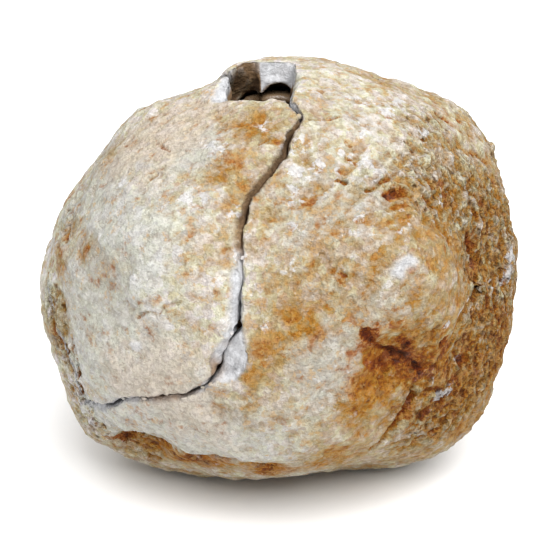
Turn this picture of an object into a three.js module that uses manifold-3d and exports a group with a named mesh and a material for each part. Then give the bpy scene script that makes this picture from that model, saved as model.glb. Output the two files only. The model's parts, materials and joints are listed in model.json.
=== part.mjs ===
// A cracked geode: a hollow, lumpy stone with a crystal lining, broken by one crack and set back together.
// Millimetres, +Z up. The origin lies under the middle of the stone, on the surface it rests on.
// The front, towards -Y, shows the crack. A direction is an azimuth, from the front towards +X,
// and an elevation, both in degrees.
import * as THREE from "three";
import { ConvexGeometry } from "three/addons/geometries/ConvexGeometry.js";
import { mergeVertices } from "three/addons/utils/BufferGeometryUtils.js";
import Module from "manifold-3d";

const wasm = await Module();
wasm.setup();

// Driving dimensions of the stone
const halfWidth = 35;
const halfDepth = 33;
const halfHeight = 30.8;
const restHeight = 29.6; // from the stone's middle down to the worn patch it stands on
const wallThickness = 4.6;
const wallRelief = { size: 15, height: 0.7 };

// Driving dimensions of the lining
const crustGap = 0.3; // between the lining and the wall behind it
const crustThickness = 1.6;
const crystalCount = 56;
const crystalSides = 6;
const crystalRadius = [1.7, 3.1];
const crystalHeight = [2.0, 4.2];
const crystalLean = 12; // degrees, at most
const crystalSink = 0.5; // how deep a crystal's foot stands in the crust, as a share of its thickness
const crystalSeed = 7;

// How finely the surfaces are faceted
const outsideDetail = 12;
const insideDetail = 5;
const crustDetail = 4;

// Broad lumps (height above 0) and hollows (below 0), with the angle that each one spreads over
const lumps = [
  { azimuth: 28, elevation: 17, spread: 15, height: 4.1 }, // the nose
  { azimuth: 28, elevation: -4, spread: 9, height: -2.5 }, // fold under the nose
  { azimuth: 50, elevation: -6, spread: 9, height: -2.2 }, // fold under the nose, right end
  { azimuth: 12, elevation: 13, spread: 9, height: -1.6 }, // dip left of the nose
  { azimuth: 59, elevation: 12, spread: 10, height: -2.2 }, // dip right of the nose
  { azimuth: 90, elevation: 8, spread: 14, height: 0.5 }, // ridge down the right side
  { azimuth: 104, elevation: 36, spread: 15, height: 2.9 }, // upper right corner
  { azimuth: 72, elevation: -38, spread: 17, height: 4.4 }, // lower right corner
  { azimuth: -74, elevation: -38, spread: 19, height: 3.8 }, // lower left corner
  { azimuth: -88, elevation: 4, spread: 10, height: -0.8 }, // scooped left side
  { azimuth: -99, elevation: 27, spread: 22, height: -3.8 }, // flat left shoulder
  { azimuth: -122, elevation: 60, spread: 14, height: -3.4 }, // dip behind the shoulder
  { azimuth: -105, elevation: 82, spread: 9, height: 0.6 }, // crest behind the missing chip
  { azimuth: -86, elevation: 67, spread: 9, height: -1.5 }, // saddle left of the missing chip
  { azimuth: -86, elevation: 50, spread: 9, height: 1.1 }, // hump below the saddle
  { azimuth: -32, elevation: 23, spread: 15, height: 2.0 }, // boss on the loose piece
  { azimuth: -41, elevation: 5, spread: 8, height: -0.9 }, // crease below the boss
  { azimuth: -48, elevation: -7, spread: 10, height: 0.9 }, // second boss, above the lower crack
  { azimuth: -23, elevation: -1, spread: 10, height: -0.7 }, // flat beside the lower crack
  { azimuth: 5, elevation: -24, spread: 15, height: 1.0 }, // belly
  { azimuth: 20, elevation: -62, spread: 20, height: -1.8 }, // drawn in above the worn patch
  { azimuth: 62, elevation: -60, spread: 14, height: 1.4 }, // under the right side
  { azimuth: -62, elevation: -64, spread: 16, height: 1.2 }, // under the left side
  { azimuth: -46, elevation: -37, spread: 7, height: -1.8 }, // nook low on the left
  { azimuth: 47, elevation: 45, spread: 13, height: 1.4 }, // brow above the nose
  { azimuth: 14, elevation: 38, spread: 11, height: -0.9 }, // dip between the crack and the brow
  { azimuth: 150, elevation: -5, spread: 20, height: 1.5 }, // lump at the back
  { azimuth: -150, elevation: -20, spread: 18, height: 1.2 }, // lump at the back, left
];
const coarseRelief = { size: 13, height: 0.8 };
const fineRelief = { size: 6.5, height: 0.4 };

// The crack, once round the loose piece: down the front, out to the left along the bottom, then up behind
const crack = [
  { azimuth: 6, elevation: 70, width: 0.6 },
  { azimuth: 8, elevation: 63, width: 0.55 },
  { azimuth: 12, elevation: 58.5, width: 0.45 },
  { azimuth: 5.5, elevation: 54, width: 0.65 },
  { azimuth: 2, elevation: 47.5, width: 0.45 },
  { azimuth: -3, elevation: 42, width: 0.55 },
  { azimuth: -8, elevation: 36, width: 0.65 },
  { azimuth: -9.5, elevation: 28.5, width: 0.45 },
  { azimuth: -9, elevation: 22, width: 0.4 },
  { azimuth: -8.5, elevation: 17, width: 0.45 },
  { azimuth: -9.3, elevation: 12.5, width: 0.8 },
  { azimuth: -9, elevation: 6, width: 1.1 },
  { azimuth: -11, elevation: 3.4, width: 0.6 },
  { azimuth: -13, elevation: -0.5, width: 0.4 },
  { azimuth: -14, elevation: -5, width: 0.6 },
  { azimuth: -17, elevation: -9, width: 0.65 },
  { azimuth: -22, elevation: -12, width: 0.4 },
  { azimuth: -31.5, elevation: -14.5, width: 0.4 },
  { azimuth: -39, elevation: -16.5, width: 0.4 },
  { azimuth: -46, elevation: -21, width: 0.6 },
  { azimuth: -55.5, elevation: -23.5, width: 0.65 },
  { azimuth: -61, elevation: -24, width: 0.5 },
  { azimuth: -58.5, elevation: -15, width: 0.4 },
  { azimuth: -63, elevation: -6, width: 0.4 },
  { azimuth: -69, elevation: 3, width: 0.45 },
  { azimuth: -84, elevation: 9, width: 0.5 },
  { azimuth: -101, elevation: 13, width: 0.5 },
  { azimuth: -113, elevation: 26, width: 0.5 },
  { azimuth: -121, elevation: 40, width: 0.6 },
  { azimuth: -116, elevation: 54, width: 0.5 },
  { azimuth: -104, elevation: 66, width: 0.6 },
  { azimuth: -76, elevation: 76, width: 0.6 },
];

// The hole where a chip is missing, seen from above: each corner as x and y at the surface and at the lining
const chipCorners = [
  { surface: [-7.6, -10.4], lining: [-5.2, -10.4] },
  { surface: [-2, -11.8], lining: [-2, -11] },
  { surface: [1.7, -12.6], lining: [1.2, -11.6] },
  { surface: [2.6, -6.5], lining: [1.7, -6.5] },
  { surface: [2.3, 1.7], lining: [1.8, 0.5] }, // from here to the next corner the broken wall faces forwards
  { surface: [-2.5, 1.2], lining: [-2.6, 0] },
  { surface: [-3, 2], lining: [-3.2, 3] }, // from here the wall is undercut
  { surface: [-5.2, 0], lining: [-6.6, 1.6] },
  { surface: [-7, -4], lining: [-6.4, -3.6] },
];

// The flake lost from both sides of the crack: the scar's outline, and its bed along the crack
const flakeOutline = [
  { azimuth: -10.2, elevation: 4.8 },
  { azimuth: -12.8, elevation: 2.8 },
  { azimuth: -14.8, elevation: -0.5 },
  { azimuth: -15.6, elevation: -4 },
  { azimuth: -15.3, elevation: -7.5 },
  { azimuth: -9.5, elevation: -6 },
  { azimuth: -7.3, elevation: -4.2 },
  { azimuth: -6.7, elevation: 0.2 },
  { azimuth: -8, elevation: 4.8 },
];
const flakeBed = [
  { azimuth: -10.5, elevation: 3.6, depth: 1.6 },
  { azimuth: -12.9, elevation: -0.5, depth: 2 },
  { azimuth: -13.8, elevation: -4.6, depth: 1.8 },
];
const flakeLid = 3; // the cutter stands this far proud of the surface

// Creases, each a wedge cut along its path
const creaseTaper = 0.25; // the share of its width and depth that a crease keeps at its ends
const creases = [
  {
    width: 2.2, // under the nose
    depth: 1.3,
    path: [
      { azimuth: 18, elevation: 6 },
      { azimuth: 20, elevation: 0 },
      { azimuth: 26, elevation: -3 },
      { azimuth: 32, elevation: -6 },
    ],
  },
  {
    width: 1.5, // low on the right
    depth: 1,
    path: [
      { azimuth: 32, elevation: -15 },
      { azimuth: 28, elevation: -22 },
      { azimuth: 23, elevation: -29 },
    ],
  },
  {
    width: 2.8, // the nook low on the left
    depth: 1.5,
    path: [
      { azimuth: -54, elevation: -35 },
      { azimuth: -46, elevation: -35 },
      { azimuth: -36, elevation: -34 },
    ],
  },
];

// Pits in the rind, with their radius in millimetres
const pits = [
  { azimuth: 33, elevation: 33.5, radius: 1.4 },
  { azimuth: 47, elevation: 32, radius: 0.9 },
  { azimuth: 53, elevation: 27.5, radius: 1.1 },
  { azimuth: 60, elevation: 23, radius: 1.0 },
  { azimuth: 67, elevation: 12, radius: 1.2 },
  { azimuth: 66, elevation: -1, radius: 1.1 },
  { azimuth: 38, elevation: -2, radius: 1.1 },
  { azimuth: 46, elevation: -22, radius: 1.0 },
  { azimuth: -66, elevation: -11, radius: 1.1 },
  { azimuth: 120, elevation: 20, radius: 1.2 },
  { azimuth: 160, elevation: 30, radius: 1.3 },
  { azimuth: -165, elevation: 12, radius: 1.1 },
  { azimuth: 135, elevation: -25, radius: 1.2 },
];
const pitRise = 0.2; // how far a pit's middle stands above the surface, as a share of its radius

// Directions and the stone's surface
function towards({ azimuth, elevation }) {
  const a = THREE.MathUtils.degToRad(azimuth);
  const e = THREE.MathUtils.degToRad(elevation);
  return new THREE.Vector3(Math.sin(a) * Math.cos(e), -Math.cos(a) * Math.cos(e), Math.sin(e));
}

const lumpShapes = lumps.map((lump) => ({
  ...lump,
  direction: towards(lump),
  spread: THREE.MathUtils.degToRad(lump.spread),
}));

// A repeatable value from -1 to 1 for one corner of the relief's grid, mixed by large odd numbers
const mixers = [374761393, 668265263, 974711, 1274126177];

function cornerValue(x, y, z) {
  const sum = Math.imul(x, mixers[0]) + Math.imul(y, mixers[1]) + Math.imul(z, mixers[2]);
  const mixed = Math.imul(sum ^ (sum >>> 13), mixers[3]);
  return ((mixed ^ (mixed >>> 16)) >>> 0) / 2 ** 31 - 1;
}

// Smooth unevenness with bumps about one size apart
function relief(point, { size, height }) {
  const cell = point.clone().divideScalar(size);
  const low = cell.clone().floor();
  const share = cell.sub(low);
  const ease = [share.x, share.y, share.z].map((t) => t * t * (3 - 2 * t));
  let sum = 0;
  for (let corner = 0; corner < 8; corner++) {
    const step = [corner & 1, (corner >> 1) & 1, corner >> 2];
    const weight = step.reduce((w, s, i) => w * (s ? ease[i] : 1 - ease[i]), 1);
    sum += weight * cornerValue(low.x + step[0], low.y + step[1], low.z + step[2]);
  }
  return height * sum;
}

function outsideRadius(direction) {
  const { x, y, z } = direction;
  const plain = 1 / Math.hypot(x / halfWidth, y / halfDepth, z / halfHeight);
  const lumpy = lumpShapes.reduce(
    (sum, lump) => sum + lump.height * Math.exp(-((direction.angleTo(lump.direction) / lump.spread) ** 2)),
    plain,
  );
  const point = direction.clone().multiplyScalar(plain);
  return lumpy + relief(point, coarseRelief) + relief(point, fineRelief);
}

function insideRadius(direction) {
  const point = direction.clone().multiplyScalar(halfWidth);
  return outsideRadius(direction) - wallThickness - relief(point, wallRelief);
}

// A ball of faces whose corners stand at the radius that the function gives
function ball(detail, radiusOf) {
  const geometry = new THREE.IcosahedronGeometry(1, detail);
  const position = geometry.getAttribute("position");
  const corner = new THREE.Vector3();
  for (let i = 0; i < position.count; i++) {
    corner.fromBufferAttribute(position, i);
    corner.multiplyScalar(radiusOf(corner));
    position.setXYZ(i, corner.x, corner.y, corner.z);
  }
  return geometry;
}

// Between three.js geometries and solids that can be joined and cut
function solidFrom(geometry) {
  const bare = geometry.clone();
  bare.deleteAttribute("normal");
  bare.deleteAttribute("uv");
  const closed = mergeVertices(bare);
  const mesh = new wasm.Mesh({
    numProp: 3,
    vertProperties: closed.getAttribute("position").array,
    triVerts: new Uint32Array(closed.index.array),
  });
  return new wasm.Manifold(mesh);
}

function geometryFrom(solid) {
  const { numProp, vertProperties, triVerts } = solid.getMesh();
  const corners = new THREE.InterleavedBuffer(vertProperties, numProp);
  const geometry = new THREE.BufferGeometry();
  geometry.setAttribute("position", new THREE.InterleavedBufferAttribute(corners, 3, 0));
  geometry.setIndex(new THREE.BufferAttribute(triVerts, 1));
  const flat = geometry.toNonIndexed();
  flat.computeVertexNormals();
  return flat;
}

// Cutters
const cutFrom = 12; // the cutters start this far from the stone's middle, and end well outside it
const cutTo = 50;

// A closed surface from rings of points that run the same way round; the last ring meets the first if looped
function skin(rings, looped) {
  const count = rings[0].length;
  const position = rings.flat().flatMap((point) => point.toArray());
  const index = [];
  const bands = looped ? rings.length : rings.length - 1;
  for (let r = 0; r < bands; r++) {
    const here = r * count;
    const next = ((r + 1) % rings.length) * count;
    for (let i = 0; i < count; i++) {
      const j = (i + 1) % count;
      index.push(here + i, here + j, next + j, here + i, next + j, next + i);
    }
  }
  if (!looped) {
    const last = (rings.length - 1) * count;
    for (let i = 1; i < count - 1; i++) {
      index.push(0, i + 1, i, last, last + i, last + i + 1);
    }
  }
  const geometry = new THREE.BufferGeometry();
  geometry.setAttribute("position", new THREE.Float32BufferAttribute(position, 3));
  geometry.setIndex(index);
  return geometry;
}

// The band of space along the crack, widened by extra on each side
function crackBlade(extra) {
  const stations = crack.map((station) => ({ ...station, direction: towards(station) }));
  const rings = stations.map(({ direction, width }, i) => {
    const before = stations.at(i - 1).direction;
    const after = stations[(i + 1) % stations.length].direction;
    const side = after.clone().sub(before).cross(direction).setLength(width / 2 + extra);
    const inner = direction.clone().multiplyScalar(cutFrom);
    const outer = direction.clone().multiplyScalar(cutTo);
    return [
      inner.clone().sub(side),
      outer.clone().sub(side),
      outer.clone().add(side),
      inner.clone().add(side),
    ];
  });
  return solidFrom(skin(rings, true));
}

// The space of the missing chip, widened by extra all round
function chipSpace(extra) {
  const ring = (level, radius) => {
    const corners = chipCorners.map((corner) => new THREE.Vector2(...corner[level]));
    const middle = new THREE.Vector2();
    corners.forEach((corner) => middle.addScaledVector(corner, 1 / corners.length));
    return corners.map((corner) => {
      const wider = corner.clone().sub(middle).setLength(extra).add(corner);
      return new THREE.Vector3(wider.x, wider.y, Math.sqrt(radius ** 2 - wider.lengthSq()));
    });
  };
  const surface = ring("surface", halfHeight);
  const lining = ring("lining", halfHeight - wallThickness);
  const beyond = surface.map((point, i) => point.clone().multiplyScalar(2).sub(lining[i]));
  const core = lining.map((point) => point.clone().setLength(cutFrom));
  return solidFrom(skin([core, lining, surface, beyond], false));
}

// A point on the stone, or sunk below its surface
function surfacePoint(place, depth = 0) {
  const direction = towards(place);
  return direction.multiplyScalar(outsideRadius(direction) - depth);
}

// The shallow scar beside the crack, from its outline down to its bed
function flakeSpace() {
  const outline = flakeOutline.map((corner) => surfacePoint(corner));
  const lid = flakeOutline.map((corner) => surfacePoint(corner, -flakeLid));
  const bed = flakeBed.map((corner) => surfacePoint(corner, corner.depth));
  return solidFrom(new ConvexGeometry([...outline, ...lid, ...bed]));
}

// A wedge along a path on the surface, thinning to nothing at both ends
function creaseSpace({ path, width, depth }) {
  const last = path.length - 1;
  const rings = path.map((place, i) => {
    const point = surfacePoint(place);
    const before = surfacePoint(path[Math.max(i - 1, 0)]);
    const after = surfacePoint(path[Math.min(i + 1, last)]);
    const share = i === 0 || i === last ? creaseTaper : 1;
    const side = after.sub(before).cross(point).setLength(width * share);
    const up = point.clone().setLength(depth * share);
    return [point.clone().sub(up), point.clone().add(up).sub(side), point.clone().add(up).add(side)];
  });
  return solidFrom(skin(rings, false));
}

function pitSpace(pit) {
  const bead = new THREE.IcosahedronGeometry(pit.radius, 0);
  const centre = surfacePoint(pit, -pitRise * pit.radius);
  bead.translate(centre.x, centre.y, centre.z);
  return solidFrom(bead);
}

// The stone: a hollow ball on a worn patch, broken by the crack
function worn(solid) {
  const reach = 2 * cutTo;
  const below = new THREE.BoxGeometry(reach, reach, reach);
  below.translate(0, 0, -restHeight - reach / 2);
  return solid.subtract(solidFrom(below));
}

// The two largest bodies, the main one first
function twoPieces(solid) {
  const bodies = solid.decompose().sort((a, b) => b.volume() - a.volume());
  return bodies.slice(0, 2);
}

const outside = solidFrom(ball(outsideDetail, outsideRadius));
const inside = solidFrom(ball(insideDetail, insideRadius));
const hollowStone = worn(outside).subtract(inside);
const broken = hollowStone
  .subtract(crackBlade(0))
  .subtract(chipSpace(0))
  .subtract(flakeSpace())
  .subtract(wasm.Manifold.union([...creases.map(creaseSpace), ...pits.map(pitSpace)]));
const [mainShell, loosePiece] = twoPieces(broken);

// The lining: a thin crust with pointed crystals grown on it, broken along the same crack
function crustRadius(direction) {
  return insideRadius(direction) - crustGap;
}

function crustInsideRadius(direction) {
  return crustRadius(direction) - crustThickness;
}

// Even directions all round, one for each crystal
function spiralDirection(i, count) {
  const z = 1 - (2 * i + 1) / count;
  const turn = i * Math.PI * (3 - Math.sqrt(5));
  return new THREE.Vector3(Math.cos(turn), Math.sin(turn), 0)
    .multiplyScalar(Math.sqrt(1 - z * z))
    .setZ(z);
}

function crystal(i) {
  const vary = (trait) => (cornerValue(i, trait, crystalSeed) + 1) / 2;
  const radius = THREE.MathUtils.lerp(...crystalRadius, vary(1));
  const height = THREE.MathUtils.lerp(...crystalHeight, vary(2));
  const point = new THREE.ConeGeometry(radius, height, crystalSides);
  point.rotateY(2 * Math.PI * vary(3));
  point.translate(0, height / 2, 0);
  const lean = THREE.MathUtils.degToRad(crystalLean);
  point.rotateX(lean * (2 * vary(4) - 1));
  point.rotateZ(lean * (2 * vary(5) - 1));
  const direction = spiralDirection(i, crystalCount);
  const inwards = direction.clone().negate();
  point.applyQuaternion(new THREE.Quaternion().setFromUnitVectors(THREE.Object3D.DEFAULT_UP, inwards));
  const foot = direction.multiplyScalar(crustRadius(direction) - crystalSink * crustThickness);
  point.translate(foot.x, foot.y, foot.z);
  return solidFrom(point);
}

const crustOutside = solidFrom(ball(insideDetail, crustRadius));
const crustInside = solidFrom(ball(crustDetail, crustInsideRadius));
const crystals = wasm.Manifold.union(Array.from({ length: crystalCount }, (_, i) => crystal(i)));
const lining = crustOutside
  .subtract(crustInside)
  .add(crystals.intersect(crustOutside))
  .subtract(crackBlade(crustGap))
  .subtract(chipSpace(crustGap));
const [mainCrystals, looseCrystals] = twoPieces(lining);

// The parts, each with its own finish
const rind = { roughness: 0.95, metalness: 0 };
const quartz = { roughness: 0.35, metalness: 0 };
const parts = [
  ["main_shell", mainShell, { color: 0xc9ac84, ...rind }],
  ["loose_piece", loosePiece, { color: 0xd2c3aa, ...rind }],
  ["main_crystals", mainCrystals, { color: 0xb9a48c, ...quartz }],
  ["loose_piece_crystals", looseCrystals, { color: 0xb9a48c, ...quartz }],
];

const geode = new THREE.Group();
for (const [name, solid, finish] of parts) {
  const mesh = new THREE.Mesh(geometryFrom(solid), new THREE.MeshStandardMaterial(finish));
  mesh.name = name;
  geode.add(mesh);
}
const box = new THREE.Box3().setFromObject(geode);
const middle = box.getCenter(new THREE.Vector3());
geode.position.set(-middle.x, -middle.y, restHeight);

export default geode;
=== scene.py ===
# A cracked geode on a pale floor: a hollow, lumpy stone that was broken once and set back together.
# Everything is in metres. Directions are an azimuth, from the front towards +X, and an elevation,
# both in degrees about the stone's middle.
import bpy
import json
import math
import numpy as np
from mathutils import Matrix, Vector
from mathutils.kdtree import KDTree

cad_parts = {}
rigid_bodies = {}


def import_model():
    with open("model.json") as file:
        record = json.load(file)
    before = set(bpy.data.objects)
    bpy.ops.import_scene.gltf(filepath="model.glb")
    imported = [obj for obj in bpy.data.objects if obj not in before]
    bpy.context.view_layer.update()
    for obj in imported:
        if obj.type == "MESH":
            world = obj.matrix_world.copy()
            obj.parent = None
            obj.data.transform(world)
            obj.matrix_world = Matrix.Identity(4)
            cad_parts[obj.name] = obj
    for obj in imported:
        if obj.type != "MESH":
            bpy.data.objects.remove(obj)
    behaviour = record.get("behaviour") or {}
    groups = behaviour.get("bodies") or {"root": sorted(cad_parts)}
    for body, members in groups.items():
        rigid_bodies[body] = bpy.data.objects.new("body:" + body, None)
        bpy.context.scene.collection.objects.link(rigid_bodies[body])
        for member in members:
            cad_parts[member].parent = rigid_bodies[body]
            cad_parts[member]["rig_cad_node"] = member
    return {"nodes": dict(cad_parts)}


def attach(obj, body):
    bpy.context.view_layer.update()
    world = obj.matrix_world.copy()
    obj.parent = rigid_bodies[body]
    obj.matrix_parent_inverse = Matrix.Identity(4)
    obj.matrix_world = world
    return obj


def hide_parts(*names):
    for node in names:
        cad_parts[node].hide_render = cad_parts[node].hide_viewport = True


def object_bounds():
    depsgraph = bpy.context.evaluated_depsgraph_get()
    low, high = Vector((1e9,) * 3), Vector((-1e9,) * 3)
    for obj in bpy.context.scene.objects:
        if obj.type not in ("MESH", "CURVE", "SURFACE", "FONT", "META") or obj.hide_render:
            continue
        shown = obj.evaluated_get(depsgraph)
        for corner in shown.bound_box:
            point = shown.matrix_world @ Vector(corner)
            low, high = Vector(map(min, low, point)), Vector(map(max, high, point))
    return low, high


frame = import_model()
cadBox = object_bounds()
print("frame loaded")

mm = 0.001
stoneMiddle = Vector((-0.22, 0.05, 29.6)) * mm
stoneRadius = 33  # mm, turns a direction into a distance along the stone


def deselectAll():
    for piece in bpy.context.selected_objects:
        piece.select_set(False)


def pick(piece):
    deselectAll()
    piece.select_set(True)
    bpy.context.view_layer.objects.active = piece


def addModifier(piece, kind, **settings):
    # add a modifier with these settings and apply it
    pick(piece)
    modifier = piece.modifiers.new(kind.lower(), kind)
    for name, value in settings.items():
        setattr(modifier, name, value)
    bpy.ops.object.modifier_apply(modifier=modifier.name)


def copyOfNode(nodeName, pieceName):
    # a free copy of a frame node, with its loose triangles joined up
    pick(frame["nodes"][nodeName])
    bpy.ops.object.duplicate()
    piece = bpy.context.active_object
    piece.name = pieceName
    piece.data.name = pieceName
    del piece["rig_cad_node"]
    piece.data.materials.clear()
    bpy.ops.mesh.customdata_custom_splitnormals_clear()
    bpy.ops.object.mode_set(mode="EDIT")
    bpy.ops.mesh.select_all(action="SELECT")
    bpy.ops.mesh.remove_doubles(threshold=0.001 * mm)
    bpy.ops.object.mode_set(mode="OBJECT")
    return piece


# Reading and writing a mesh as arrays, in millimetres about the stone's middle

def pointsOf(piece):
    flat = np.zeros(len(piece.data.vertices) * 3)
    piece.data.vertices.foreach_get("co", flat)
    return (flat.reshape(-1, 3) - np.array(stoneMiddle)) / mm


def setPoints(piece, points):
    piece.data.vertices.foreach_set("co", (points * mm + np.array(stoneMiddle)).ravel())
    piece.data.update()


def normalsOf(piece):
    flat = np.zeros(len(piece.data.vertices) * 3)
    piece.data.vertices.foreach_get("normal", flat)
    return flat.reshape(-1, 3)


def edgesOf(piece):
    flat = np.zeros(len(piece.data.edges) * 2, int)
    piece.data.edges.foreach_get("vertices", flat)
    return flat.reshape(-1, 2)


def spreadOut(values, edges, times):
    # average each vertex with its neighbours, several times over
    count = len(values)
    a, b = edges[:, 0], edges[:, 1]
    share = 1 / (1 + np.bincount(a, minlength=count) + np.bincount(b, minlength=count))
    for _ in range(times):
        total = np.bincount(a, values[b], count) + np.bincount(b, values[a], count)
        values = (values + total) * share
    return values


def smoothStep(low, high, x):
    t = np.clip((x - low) / (high - low), 0, 1)
    return t * t * (3 - 2 * t)


def towards(azimuth, elevation):
    turn = math.radians(azimuth)
    rise = math.radians(elevation)
    return np.array((math.sin(turn) * math.cos(rise), -math.cos(turn) * math.cos(rise), math.sin(rise)))


def unit(vectors):
    return vectors / np.linalg.norm(vectors, axis=-1, keepdims=True)


# Lattice noise in code, for what is painted and carved

noiseTable = np.random.default_rng(11).random((32, 32, 32))


def grain(points, size, seed=0):
    # smooth noise from 0 to 1, with lumps of about this size in mm
    p = points / size + 7.3 * seed + 100
    cell = np.floor(p).astype(int)
    t = p - cell
    t = t * t * (3 - 2 * t)
    total = 0
    for i in (0, 1):
        for j in (0, 1):
            for k in (0, 1):
                weight = 1
                for axis, step in enumerate((i, j, k)):
                    weight = weight * (t[:, axis] if step else 1 - t[:, axis])
                corner = (cell + (i, j, k)) % len(noiseTable)
                total = total + weight * noiseTable[tuple(corner.T)]
    return total


def layers(points, size, seed=0, octaves=3):
    # noise with finer noise added on top
    total, weight = 0, 0
    for n in range(octaves):
        total = total + grain(points, size / 2 ** n, seed + n) / 2 ** n
        weight += 1 / 2 ** n
    return total / weight


def wander(points, size, reach, seed=0):
    # the points pushed about by noise, so that an outline drawn on them frays
    push = np.stack([layers(points, size, seed + 20 * n) for n in range(3)], -1) - 0.5
    return points + push * 2 * reach


# Texture for the Displace modifier

def reliefTexture(name, kind, size, **settings):
    texture = bpy.data.textures.new(name, kind)
    texture.noise_scale = size * mm
    for key, value in settings.items():
        setattr(texture, key, value)
    return texture


def paintGroup(piece, name, weights, levels=20):
    # a vertex group with its weights rounded to a few levels
    group = piece.vertex_groups.new(name=name)
    steps = np.round(np.clip(weights, 0, 1) * levels).astype(int)
    for step in range(1, levels + 1):
        chosen = np.nonzero(steps == step)[0]
        if len(chosen):
            group.add(chosen.tolist(), step / levels, "REPLACE")


def groupWeights(piece, name):
    weight = np.zeros(len(piece.data.vertices))
    group = piece.vertex_groups[name].index
    for vertex in piece.data.vertices:
        for g in vertex.groups:
            if g.group == group:
                weight[vertex.index] = g.weight
    return weight


def setAttribute(piece, name, values):
    attribute = piece.data.attributes.new(name, "FLOAT", "POINT")
    attribute.data.foreach_set("value", values.astype(np.float32))


# The stone's two broken pieces

shell = {
    "voxel": 0.42,          # mm, the mesh size of the rind
    "facetSmoothing": 46,   # passes that take the flat facets away
    "edgeSmoothing": 1,     # passes on the broken faces
    "wanderSize": 3.0,      # how the crack wanders
    "wanderReach": 0.9,
    "liningShare": 0.06,    # how much of the hidden inner wall's mesh is kept
    "backShare": 0.42,      # how much of the mesh behind the stone is kept
    "boxEase": 0.8,         # mm, how gently the surface is pressed into the frame's box
    "fineBand": 0.75,       # mm on each side of a crack or groove where the mesh is made finer
    "fineWidth": 1.0,       # marks narrower than this get such a band
    "holeBand": 6.5,        # and the hole has one round it
    "rindFacing": 0.62,     # how squarely the rind faces out, and the hidden wall in
    "liningFacing": -0.45,
    "rindRadius": 27,       # mm from the middle, from where a face away from the crack is rind
    "nearCrack": 1.5,       # mm
    "behindFrom": 10,       # mm, the y from which the mesh is made coarser
    "deepestMark": 1.0,     # mm
    "fineFrom": 25,         # mm from the middle, from where the mesh is made finer,
    "leanFrom": 24,         # the broken walls lean
    "bevelFrom": 22,        # and the broken edges are bevelled
    "leanReach": 1.2,       # mm on each side of the crack
}

# relief on the rind: size of the lumps and how high they stand, mm
rindRelief = [
    {"name": "swell", "size": 5.0, "height": 0.8, "group": "skin", "depth": 1, "noise": "SOFT_NOISE"},
    {"name": "lump", "size": 2.0, "height": 0.4, "group": "skin", "depth": 2, "noise": "SOFT_NOISE"},
    {"name": "grit", "size": 0.9, "height": 0.26, "group": "skin", "depth": 2, "noise": "SOFT_NOISE"},
    {"name": "crumble", "size": 1.7, "height": 1.3, "group": "rough", "depth": 3, "noise": "SOFT_NOISE"},
    {"name": "crag", "size": 1.3, "height": 0.8, "group": "rough", "depth": 2, "noise": "HARD_NOISE"},
    {"name": "facet", "size": 1.4, "height": 0.16, "group": "broken", "depth": 1, "noise": "SOFT_NOISE"},
]

# where the rind is rough and crumbling: direction, reach in mm and strength
roughPlaces = [
    (66, 20, 13, 1.0), (66, 0, 12, 1.0), (56, -14, 10, 1.0), (46, -25, 8, 1.0), (36, -20, 5, 0.7),
    (48, 34, 8, 0.8), (66, 44, 7, 0.5), (33, -2, 6, 0.5), (40, -14, 7, 0.7), (-65, -2, 5, 1.0),
    (-62, -12, 4.5, 1.0), (-61, -22, 4, 0.9), (-62, -32, 4, 0.6), (-50, -38, 5, 0.5), (30, 37, 5, 0.4),
    (-68, 20, 5, 0.4), (120, 10, 22, 0.7), (160, 30, 16, 0.4), (-150, -10, 16, 0.5),
    (90, -35, 14, 0.7),
]

# the clean scar where the crack bends
scarOutline = [
    (-10.2, 4.8), (-12.8, 2.8), (-14.8, -0.5), (-15.6, -4), (-15.3, -7.5),
    (-9.5, -6), (-7.3, -4.2), (-6.7, 0.2), (-8, 4.8),
]


def insideOutline(points, outline):
    # which directions lie inside a closed outline given as azimuths and elevations
    direction = unit(points)
    azimuth = np.degrees(np.arctan2(direction[:, 0], -direction[:, 1]))
    elevation = np.degrees(np.arcsin(direction[:, 2]))
    inside = np.zeros(len(points), bool)
    for (a0, e0), (a1, e1) in zip(outline, outline[1:] + outline[:1]):
        if e0 == e1:
            continue
        crosses = (e0 > elevation) != (e1 > elevation)
        inside ^= crosses & (azimuth < a0 + (elevation - e0) * (a1 - a0) / (e1 - e0))
    return inside


def nearPlaces(points, places):
    # 0 to 1: how near each point is to the marked places, with frayed outlines
    frayed = unit(wander(points, 4, 1.6, 3)) * stoneRadius
    total = np.zeros(len(points))
    for azimuth, elevation, reach, strength in places:
        away = np.linalg.norm(frayed - towards(azimuth, elevation) * stoneRadius, axis=1) / reach
        total = np.maximum(total, strength * smoothStep(1.25, 0.35, away))
    return total


# streaks in the rind: which way they run, how long and how high, and where
streaks = [
    {"along": (0.82, 0, 0.57), "size": 1.5, "stretch": 3.5, "height": 0.55,
     "places": [(20, 40, 16, 1.0), (40, 50, 14, 0.8), (0, 30, 10, 0.7), (-30, 35, 12, 0.5),
                (30, 15, 12, 0.7), (20, -10, 12, 0.5)]},
    {"along": (0, 0.1, 1), "size": 1.2, "stretch": 4.5, "height": 0.9,
     "places": [(72, 15, 12, 1.0), (70, -5, 12, 1.0), (56, -18, 9, 0.8), (-64, -5, 5, 0.8),
                (100, 10, 20, 0.7), (60, 35, 8, 0.6)]},
]


def stretchAlong(points, along, stretch):
    # squeeze the points along one way, so that noise read on them comes out long that way
    way = unit(np.array(along))
    return points - np.outer(points @ way, way) * (1 - 1 / stretch)


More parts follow.
